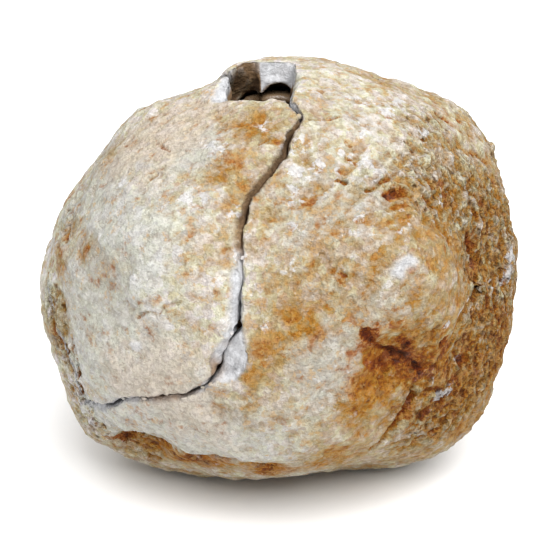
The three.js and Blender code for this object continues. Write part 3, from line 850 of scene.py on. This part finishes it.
def bridgingChips(name, tree, surface):
    # small rough lumps of rind, each set into the surface
    made = []
    for number, chip in enumerate(chips):
        deselectAll()
        bpy.ops.mesh.primitive_ico_sphere_add(subdivisions=3, radius=0.5 * mm)
        lump = bpy.context.active_object
        corners = np.array([vertex.co for vertex in lump.data.vertices]) / mm
        corners = corners * (0.7 + 0.6 * layers(corners, 0.45, 90 + 7 * number)[:, None])
        out = towards(*chip["at"])
        level = unit(np.cross((0, 0, 1), out))
        turn = math.radians(chip["turn"])
        along = level * math.cos(turn) + np.cross(out, level) * math.sin(turn)
        axes = np.stack((along, np.cross(out, along), out)) * np.array(chip["size"])[:, None]
        height = np.linalg.norm(surface[tree.find(out)[1]]) - chip["size"][2] * 0.3
        setPoints(lump, corners @ axes + out * height)
        made.append(lump)
    deselectAll()
    for lump in made:
        lump.select_set(True)
    bpy.context.view_layer.objects.active = made[0]
    bpy.ops.object.join()
    piece = made[0]
    piece.name = piece.data.name = name
    bpy.ops.object.shade_smooth()
    paintRind(piece)
    # the white chips get the full chalk white: painted glints on small crystals
    white = np.repeat([chip.get("white", False) for chip in chips], len(corners))
    piece.data.attributes["chalk"].data.foreach_set("value", white * 1.5)
    report(piece)
    return piece


# Building a material's nodes

def add(tree, kind, values=None, **settings):
    # a node; its sockets take numbers, colours or another node's output
    node = tree.nodes.new(kind)
    for name, value in settings.items():
        setattr(node, name, value)
    for key, value in (values or {}).items():
        if isinstance(value, bpy.types.NodeSocket):
            tree.links.new(value, node.inputs[key])
        else:
            node.inputs[key].default_value = value
    return node


def noise(tree, place, size, detail=3, rough=0.55, distort=0):
    # noise with lumps of about this size in mm
    values = {"Vector": place, "Scale": 1 / (size * mm), "Detail": detail, "Roughness": rough,
              "Distortion": distort}
    return add(tree, "ShaderNodeTexNoise", values).outputs["Fac"]


def cells(tree, place, size):
    # cells of about this size in mm: each cell's own colour, and the distance from its middle
    values = {"Vector": place, "Scale": 1 / (size * mm)}
    return add(tree, "ShaderNodeTexVoronoi", values, feature="F1").outputs


def tonesOf(tree, cell):
    # three random tones from 0 to 1, even over each cell
    return add(tree, "ShaderNodeSeparateColor", {0: cell["Color"]}).outputs


def pushed(tree, place, size, reach):
    # the place pushed about by noise, so that outlines drawn with it fray
    values = {"Vector": place, "Scale": 1 / (size * mm), "Detail": 2}
    push = add(tree, "ShaderNodeTexNoise", values).outputs["Color"]
    values = {0: push, 1: [reach * mm] * 3, 2: place}
    return add(tree, "ShaderNodeVectorMath", values, operation="MULTIPLY_ADD").outputs[0]


def ramp(tree, value, low, high, least=0, most=1):
    # a soft step from least to most, while the value goes from low to high
    values = {"Value": value, "From Min": low, "From Max": high, "To Min": least, "To Max": most}
    return add(tree, "ShaderNodeMapRange", values, interpolation_type="SMOOTHSTEP").outputs["Result"]


def maths(tree, operation, a, b=0.0, clamp=False):
    return add(tree, "ShaderNodeMath", {0: a, 1: b}, operation=operation, use_clamp=clamp).outputs[0]


def weighed(tree, *terms):
    # the sum of all values, each times its weight
    result = 0.0
    for value, weight in terms:
        values = {0: value, 1: weight, 2: result}
        result = add(tree, "ShaderNodeMath", values, operation="MULTIPLY_ADD").outputs[0]
    return result


def blendColour(tree, share, a, b, kind="MIX"):
    values = {0: share, 6: a, 7: b}
    return add(tree, "ShaderNodeMix", values, data_type="RGBA", blend_type=kind).outputs[2]


def colourLine(tree, value, stops):
    # a run of colours, each at its place from 0 to 1
    node = add(tree, "ShaderNodeValToRGB", {"Fac": value})
    elements = node.color_ramp.elements
    while len(elements) < len(stops):
        elements.new(0.5)
    for element, (position, look) in zip(elements, stops):
        element.position = position
        element.color = look
    return node.outputs["Color"]


def attribute(tree, name):
    return add(tree, "ShaderNodeAttribute", attribute_name=name).outputs["Fac"]


def stretched(tree, place, scale, turn=(0, 0, 0)):
    # the pattern made this many times longer along each way, after the turn
    values = {"Vector": place, "Scale": scale, "Rotation": [math.radians(a) for a in turn]}
    return add(tree, "ShaderNodeMapping", values, vector_type="TEXTURE").outputs["Vector"]


def newMaterial(name):
    material = bpy.data.materials.new(name)
    material.use_nodes = True
    return material, material.node_tree, material.node_tree.nodes["Principled BSDF"]


def finish(tree, shader, base, roughness, height, depth, strength):
    # the shader's colour, roughness and bump
    values = {"Height": height, "Distance": depth * mm, "Strength": strength}
    bump = add(tree, "ShaderNodeBump", values).outputs["Normal"]
    tree.links.new(base, shader.inputs["Base Color"])
    tree.links.new(roughness, shader.inputs["Roughness"])
    tree.links.new(bump, shader.inputs["Normal"])


studioLevel = 1.66  # how brightly the studio lights a surface


def colour(red, green, blue):
    # a colour as it looks in the studio, 0 to 255, turned into the share of light that it sends back
    linear = []
    for tone in (red, green, blue):
        share = tone / 255
        linear.append(share / 12.92 if share <= 0.04045 else ((share + 0.055) / 1.055) ** 2.4)
    return (*[light / studioLevel for light in linear], 1)


# the run of colours from clean rind to deep rust, each at its place along the stain
stainLine = [
    (0.00, colour(240, 239, 236)),
    (0.12, colour(229, 223, 211)),
    (0.26, colour(209, 197, 175)),
    (0.40, colour(193, 172, 140)),
    (0.54, colour(182, 150, 104)),
    (0.67, colour(185, 131, 54)),
    (0.79, colour(172, 108, 28)),
    (0.90, colour(136, 72, 16)),
    (1.00, colour(84, 38, 6)),
]
rustLine = [
    (0.00, colour(196, 140, 66)),
    (0.25, colour(176, 104, 34)),
    (0.50, colour(148, 72, 16)),
    (0.75, colour(110, 44, 8)),
    (1.00, colour(72, 24, 4)),
]
rindColours = {
    "oliveGlaze": (0.985, 1.0, 0.85, 1),    # these two multiply the stain's colour
    "pinkGlaze": (1.02, 0.98, 1.05, 1),
    "ochre": colour(192, 152, 92),
    "cool": colour(208, 209, 202),
    "pink": colour(216, 199, 180),
    "pit": colour(104, 62, 26),
    "chalk": colour(234, 232, 232),
    # pale is the whitish colour of the painted highlight on the nose
    "pale": colour(222, 223, 226),
    "speck": colour(96, 66, 40),
    "quartz": colour(232, 233, 236),
    "quartzShade": colour(204, 203, 205),
    # dull is the brown of the stained and shaded broken faces; deep is the darker painted shade further
    # in
    "dull": colour(152, 122, 90),
    "deep": colour(104, 80, 58),
    "lining": colour(110, 84, 58),
}


# how coarse each pattern of the rind is, in mm, and how deep the bump
rindGrain = {
    "blotch": 2.6,
    "lump": 1.1,
    "crumb": 0.5,
    "grit": 0.24,
    "leaning": 1.1,         # streaks that lean, this many times as long as wide
    "leaningLength": 2.6,
    "leaningTurn": -35,     # degrees
    "standing": 0.8,        # and streaks that stand upright
    "standingLength": 3.4,
    "smallSpot": 0.5,
    "largeSpot": 1.15,
    "pitSpacing": 1.5,
    "tornSize": 0.6,        # how the spots' outlines fray
    "tornReach": 0.9,
    "bumpDepth": 0.6,
    "shine": 0.15,
}
paintedOn = (
    "stain", "rust", "chalk", "pale", "cool", "pink", "dull", "hollow", "upright", "coarse",
    "brokenFace", "liningFace", "bevel",
)


def rindMaterial(name):
    material, tree, shader = newMaterial(name)
    place = add(tree, "ShaderNodeTexCoord").outputs["Object"]
    painted = {key: attribute(tree, key) for key in paintedOn}
    coarse = painted["coarse"]
    size = rindGrain
    c = rindColours

    blotch = noise(tree, place, size["blotch"], 3, 0.55, 0.4)
    lump = noise(tree, place, size["lump"], 2, 0.5, 0.3)
    crumb = noise(tree, place, size["crumb"], 2, 0.6)
    grit = noise(tree, place, size["grit"], 2, 0.6)
    long = stretched(tree, place, (size["leaningLength"], 1, 1), (0, size["leaningTurn"], 0))
    leaning = noise(tree, long, size["leaning"], 3, 0.55, 0.5)
    long = stretched(tree, place, (1, 1, size["standingLength"]))
    standing = noise(tree, long, size["standing"], 3, 0.6, 0.5)
    streak = add(tree, "ShaderNodeMix", {0: painted["upright"], 2: leaning, 3: standing}).outputs[0]
    torn = pushed(tree, place, size["tornSize"], size["tornReach"])
    small = tonesOf(tree, cells(tree, torn, size["smallSpot"]))
    large = tonesOf(tree, cells(tree, torn, size["largeSpot"]))
    holes = cells(tree, torn, size["pitSpacing"])

    # the relief that both the colour and the bump follow: about 0.5, lower in the pits
    relief = weighed(tree, (lump, 0.35), (streak, 0.4), (crumb, 0.25))

    # stains lie in the low places, and most unevenly where the rind is stained or coarse
    patch = ramp(tree, weighed(tree, (blotch, 0.6), (lump, 0.4)), 0.4, 0.6, -0.5, 0.5)
    sunk = ramp(tree, relief, 0.4, 0.6, 0.5, -0.5)
    spotty = weighed(tree, (small[0], 0.25), (large[0], 0.75), (1.0, -0.5))
    uneven = weighed(tree, (patch, 0.17), (sunk, 0.12), (spotty, 0.18))
    spread = weighed(tree, (coarse, 0.4), (painted["stain"], 1.3), (1.0, 0.55))
    level = weighed(tree, (painted["stain"], 1.0), (painted["rust"], 0.25), (uneven, spread))
    base = colourLine(tree, level, stainLine)
    warmth = ramp(tree, weighed(tree, (small[1], 0.15), (large[1], 0.85)), 0.15, 0.85)
    glaze = blendColour(tree, warmth, c["pinkGlaze"], c["oliveGlaze"])
    base = blendColour(tree, 1.0, base, glaze, "MULTIPLY")
    tint = weighed(tree, (painted["cool"], 1.0), (blotch, 1.0), (level, -0.8))
    base = blendColour(tree, ramp(tree, tint, 0.45, 1.05, 0, 0.65), base, c["cool"])
    tint = weighed(tree, (painted["pink"], 1.0), (lump, 1.0), (level, -0.6))
    base = blendColour(tree, ramp(tree, tint, 0.6, 1.2, 0, 0.6), base, c["pink"])

    # clusters of ochre grains, and rust that gathers in thin branching veins
    cluster = weighed(tree, (patch, 0.9), (small[2], 0.6), (level, 0.3), (painted["cool"], -0.25),
                      (painted["pink"], -0.25))
    base = blendColour(tree, ramp(tree, cluster, 0.55, 0.9, 0, 0.55), base, c["ochre"])
    veins = ramp(tree, maths(tree, "ABSOLUTE", weighed(tree, (lump, 1.0), (1.0, -0.5))), 0, 0.05, 1, 0)
    veins = maths(tree, "MULTIPLY", veins, painted["rust"])
    rusty = weighed(tree, (painted["rust"], 0.55), (patch, 0.26), (sunk, 0.26), (spotty, 0.3),
                    (painted["hollow"], 0.08), (veins, 0.4))
    rustColour = colourLine(tree, rusty, rustLine)
    base = blendColour(tree, ramp(tree, rusty, 0.12, 0.5, 0, 0.92), base, rustColour)

    # the painted highlight on the top of the nose, chalky flecks, small pits and dark specks
    paintedNoseHighlight = weighed(tree, (painted["pale"], 1.0), (patch, 0.25), (spotty, 0.3))
    base = blendColour(tree, ramp(tree, paintedNoseHighlight, 0.1, 1.1, 0, 0.9), base, c["pale"])
    white = weighed(tree, (painted["chalk"], 1.0), (spotty, 0.9), (sunk, -0.3),
                    (painted["hollow"], -0.15))
    base = blendColour(tree, ramp(tree, white, 0.45, 0.9, 0, 0.85), base, c["chalk"])
    chosen = weighed(tree, (tonesOf(tree, holes)[0], 1.0), (coarse, 0.7))
    chosen = ramp(tree, chosen, 1.05, 1.2)
    pitted = weighed(tree, (holes["Distance"], 1.0), (crumb, 0.3))
    pitted = maths(tree, "MULTIPLY", ramp(tree, pitted, 0.3, 0.5, 1, 0), chosen)
    base = blendColour(tree, maths(tree, "MULTIPLY", pitted, 0.7), base, c["pit"])
    specks = weighed(tree, (grit, 1.0), (crumb, 0.5), (coarse, 0.04))
    base = blendColour(tree, ramp(tree, specks, 0.98, 1.12, 0, 0.55), base, c["speck"])

    # the broken faces, and the wall behind the crystals
    cloudy = ramp(tree, weighed(tree, (blotch, 0.5), (lump, 0.5)), 0.35, 0.65)
    crystal = blendColour(tree, cloudy, c["quartzShade"], c["quartz"])
    # the broken faces turn brown at the stain places and deeper in: real stain and painted shade
    brownStainAndShade = ramp(tree, weighed(tree, (painted["dull"], 1.0), (lump, 0.4)), 0.3, 1.0)
    crystal = blendColour(tree, brownStainAndShade, crystal, c["dull"])
    # the darkest brown, deepest in the crack and the hole: painted shade
    crystal = blendColour(tree, ramp(tree, painted["dull"], 0.95, 1.3), crystal, c["deep"])
    fresh = maths(tree, "MAXIMUM", painted["brokenFace"], painted["bevel"])
    base = blendColour(tree, fresh, base, crystal)
    base = blendColour(tree, painted["liningFace"], base, c["lining"])

    # painted shade darkens the low places and painted light brightens the high ones, most where the rind
    # is coarse
    paintedReliefShade = ramp(tree, weighed(tree, (relief, 0.6), (crumb, 0.4)), 0.38, 0.58, -0.55, 0.8)
    paintedReliefShade = maths(tree, "MULTIPLY", paintedReliefShade, weighed(tree, (coarse, 0.34), (1.0, 0.1)))
    shade = ramp(tree, weighed(tree, (grit, 0.6), (small[2], 0.4)), 0.25, 0.75, 0.82, 1.13)
    # the grain's own tone, with the painted shade and light of the relief added
    shade = weighed(tree, (shade, 1.0), (paintedReliefShade, 1.0))
    grey = add(tree, "ShaderNodeCombineColor", {0: shade, 1: shade, 2: shade}).outputs[0]
    base = blendColour(tree, 1.0, base, grey, "MULTIPLY")

    height = weighed(tree, (relief, 1.0), (crumb, 0.5), (grit, 0.3), (small[0], 0.12), (large[2], 0.08),
                     (pitted, -0.3))
    uneven = weighed(tree, (coarse, 2.0), (painted["stain"], 0.9), (fresh, -0.5), (1.0, 0.7))
    height = maths(tree, "MULTIPLY", height, uneven)
    roughness = ramp(tree, crumb, 0.3, 0.7, 0.74, 0.96)
    finish(tree, shader, base, roughness, height, size["bumpDepth"], 1.0)
    shader.inputs["Specular IOR Level"].default_value = size["shine"]
    return material


def plainMaterial(name, look):
    material, tree, shader = newMaterial(name)
    shader.inputs["Base Color"].default_value = look
    shader.inputs["Roughness"].default_value = 0.8
    return material


rind = weatheredShell("main_shell", "rind")
looseRind = weatheredShell("loose_piece", "loose_rind")
rindLook = rindMaterial("rindStone")
for piece, nodeName, slot in ((rind, "main_shell", "tan_rind"), (looseRind, "loose_piece", "pale_rind")):
    paintRind(piece)
    piece.data.materials.append(rindLook)
    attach(piece, "root")
    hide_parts(nodeName)
print("rind of both pieces done")

bridges = bridgingChips("chips", surfaceTree(rind), pointsOf(rind))
bridges.data.materials.append(rindLook)
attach(bridges, "root")
print("chips in the crack done")

# The crystals that line the hollow: a lumpy crust, grown over with small six-sided points

druse = {
    "voxel": 0.8,               # mm, the mesh size of the crust under the crystals
    "smoothing": 3,
    "spacing": 1.25,            # mm between neighbouring crystals
    "radius": (0.5, 1.0),       # mm
    "height": (1.0, 2.6),
    "tip": 0.55,                # height of the point, as a share of a crystal of height 1
    "lean": 0.35,
    "sunk": 0.35,               # share of a crystal that stands in the crust
    "clearOfBreak": 1.0,        # mm kept free beside the broken edges
    "seed": 5,
}


def crystalPoint():
    # one six-sided prism with a pointed end, 1 high and 1 in radius, as arrays of corners and faces
    deselectAll()
    bpy.ops.mesh.primitive_cylinder_add(vertices=6, radius=1, depth=1 - druse["tip"])
    point = bpy.context.active_object
    bpy.ops.object.mode_set(mode="EDIT")
    bpy.ops.mesh.select_all(action="DESELECT")
    bpy.ops.object.mode_set(mode="OBJECT")
    top = max(point.data.polygons, key=lambda face: face.center.z)
    top.select = True
    bpy.ops.object.mode_set(mode="EDIT")
    bpy.ops.mesh.poke(offset=druse["tip"])
    bpy.ops.object.mode_set(mode="OBJECT")
    corners = np.array([vertex.co for vertex in point.data.vertices])
    corners[:, 2] -= corners[:, 2].min()
    faces = [list(face.vertices) for face in point.data.polygons]
    bpy.data.objects.remove(point)
    return corners, faces


def spacedOut(candidates, points, spacing):
    # the candidates, in their order, that keep this distance to those already taken
    tree = KDTree(len(candidates))
    for i in candidates:
        tree.insert(points[i], i)
    tree.balance()
    free = set(candidates.tolist())
    taken = []
    for i in candidates.tolist():
        if i in free:
            taken.append(i)
            free.difference_update(near[1] for near in tree.find_range(points[i], spacing))
    return taken


def grownCrystals(piece, chance):
    # place the crystals on the crust's inward side, away from where it broke
    points, normals, edges = pointsOf(piece), normalsOf(piece), edgesOf(piece)
    facing = (unit(points) * normals).sum(1)
    inward = spreadOut((facing < -0.25).astype(float), edges, 1) > 0.6
    edgeTree = KDTree(int((~inward).sum()))
    for i in np.nonzero(~inward)[0]:
        edgeTree.insert(points[i], i)
    edgeTree.balance()
    clear = [i for i in np.nonzero(inward)[0] if edgeTree.find(points[i])[2] > druse["clearOfBreak"]]
    feet = spacedOut(chance.permutation(clear), points, druse["spacing"])
    print(piece.name, "crystals:", len(feet))
    corners, faces = crystalPoint()
    allCorners, allFaces, tones = [], [], []
    for foot in feet:
        radius, height = chance.uniform(*druse["radius"]), chance.uniform(*druse["height"])
        axis = unit(normals[foot] + chance.normal(0, druse["lean"], 3))
        side = unit(np.cross(axis, chance.normal(0, 1, 3)))
        turn = np.stack((side * radius, np.cross(axis, side) * radius, axis * height))
        start = len(allCorners) * len(corners)
        allCorners.append(points[foot] - axis * height * druse["sunk"] + corners @ turn)
        allFaces.extend([[start + i for i in face] for face in faces])
        tones.extend([chance.random()] * len(corners))
    mesh = bpy.data.meshes.new("points")
    mesh.from_pydata((np.concatenate(allCorners) * mm + np.array(stoneMiddle)).tolist(), [], allFaces)
    grown = bpy.data.objects.new("points", mesh)
    bpy.context.scene.collection.objects.link(grown)
    setAttribute(grown, "tone", np.array(tones))
    return grown


def crystalLining(nodeName, pieceName, chance):
    piece = copyOfNode(nodeName, pieceName)
    addModifier(piece, "REMESH", mode="VOXEL", voxel_size=druse["voxel"] * mm, use_smooth_shade=True)
    addModifier(piece, "SMOOTH", factor=0.5, iterations=druse["smoothing"])
    setAttribute(piece, "tone", layers(pointsOf(piece), 2, 12))
    grown = grownCrystals(piece, chance)
    pick(grown)
    piece.select_set(True)
    bpy.context.view_layer.objects.active = piece
    bpy.ops.object.join()
    report(piece)
    return piece


# the quartz: how coarse its patterns are, in mm, and its bump
quartzGrain = {
    "stain": 5,
    "grit": 0.3,
    "bumpDepth": 0.15,
    "bumpStrength": 0.6,
}
quartzColours = {
    "stained": colour(112, 76, 40),
    "smoky": colour(150, 124, 96),
    "milky": colour(208, 198, 184),
    "dust": colour(90, 58, 30),
}


def quartzMaterial(name):
    material, tree, shader = newMaterial(name)
    place = add(tree, "ShaderNodeTexCoord").outputs["Object"]
    tone = attribute(tree, "tone")
    size = quartzGrain
    c = quartzColours
    stain = noise(tree, place, size["stain"], 3, 0.5)
    grit = noise(tree, place, size["grit"], 2, 0.6)
    clear = ramp(tree, weighed(tree, (tone, 0.6), (stain, 0.9)), 0.45, 1.0)
    base = blendColour(tree, clear, c["stained"], c["smoky"])
    cloudy = ramp(tree, weighed(tree, (tone, 1.0), (stain, -0.4)), 0.5, 0.85, 0, 0.8)
    base = blendColour(tree, cloudy, base, c["milky"])
    base = blendColour(tree, ramp(tree, grit, 0.6, 0.8, 0, 0.5), base, c["dust"])
    roughness = ramp(tree, grit, 0.3, 0.7, 0.16, 0.45)
    finish(tree, shader, base, roughness, grit, size["bumpDepth"], size["bumpStrength"])
    shader.inputs["IOR"].default_value = 1.54
    return material


crystalChance = np.random.default_rng(druse["seed"])
quartz = quartzMaterial("stainedQuartz")
for nodeName, pieceName in (("main_crystals", "druse"), ("loose_piece_crystals", "loose_druse")):
    lining = crystalLining(nodeName, pieceName, crystalChance)
    lining.data.materials.append(quartz)
    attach(lining, "root")
    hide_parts(nodeName)
print("crystals in the hollow done")

# Floor, light and camera

studio = {
    "floorSide": 4.0,
    "floorColour": 0.9,
    "skyLow": 0.3,          # the sky's strength at the horizon
    "skyHigh": 1.62,        # and overhead
    "keyFrom": (22, 52),    # azimuth and elevation of the soft key light
    "keyAway": 0.8,
    "keySide": 0.6,
    "keyPower": 7.8,        # watts
    "lens": 100,            # mm
    "sensor": 36,           # mm
    "distance": 0.229,
    "elevation": 20,        # degrees
    "shift": (2 / 560, -13 / 560),
    "nearest": 0.01,        # what is closer than this isn't drawn
}


def makeFloor():
    deselectAll()
    bpy.ops.mesh.primitive_plane_add(size=studio["floorSide"], location=(0, 0, 0))
    floor = bpy.context.active_object
    floor.name = "floor"
    floor.data.materials.append(plainMaterial("floorWhite", (*[studio["floorColour"]] * 3, 1)))


def makeLight():
    world = bpy.data.worlds.new("studioLight")
    world.use_nodes = True
    tree = world.node_tree
    background = tree.nodes["Background"]
    background.inputs["Color"].default_value = (1, 1, 1, 1)
    way = add(tree, "ShaderNodeTexCoord").outputs["Generated"]
    upward = add(tree, "ShaderNodeSeparateXYZ", {0: way}).outputs["Z"]
    strength = ramp(tree, upward, 0, 1, studio["skyLow"], studio["skyHigh"])
    # the sky shows plain white behind the floor, whatever light it sends
    seen = add(tree, "ShaderNodeLightPath").outputs["Is Camera Ray"]
    strength = add(tree, "ShaderNodeMix", {0: seen, 2: strength, 3: 1.0}).outputs[0]
    tree.links.new(strength, background.inputs["Strength"])
    bpy.context.scene.world = world
    keyWay = Vector(towards(*studio["keyFrom"]))
    bpy.ops.object.light_add(type="AREA", location=stoneMiddle + keyWay * studio["keyAway"])
    lamp = bpy.context.active_object
    lamp.name = "keyLight"
    lamp.data.size = studio["keySide"]
    lamp.data.energy = studio["keyPower"]
    lamp.rotation_euler = (stoneMiddle - lamp.location).to_track_quat("-Z", "Y").to_euler()


def makeCamera():
    cameraData = bpy.data.cameras.new("camera")
    camera = bpy.data.objects.new("camera", cameraData)
    bpy.context.scene.collection.objects.link(camera)
    cameraData.lens = studio["lens"]
    cameraData.sensor_width = studio["sensor"]
    cameraData.shift_x, cameraData.shift_y = studio["shift"]
    cameraData.clip_start = studio["nearest"]
    back = Vector(towards(0, studio["elevation"]))
    camera.location = stoneMiddle + back * studio["distance"]
    camera.rotation_euler = (-back).to_track_quat("-Z", "Y").to_euler()
    bpy.context.scene.camera = camera
    bpy.context.scene.view_settings.view_transform = "Standard"


makeFloor()
makeLight()
makeCamera()
print("studio done")
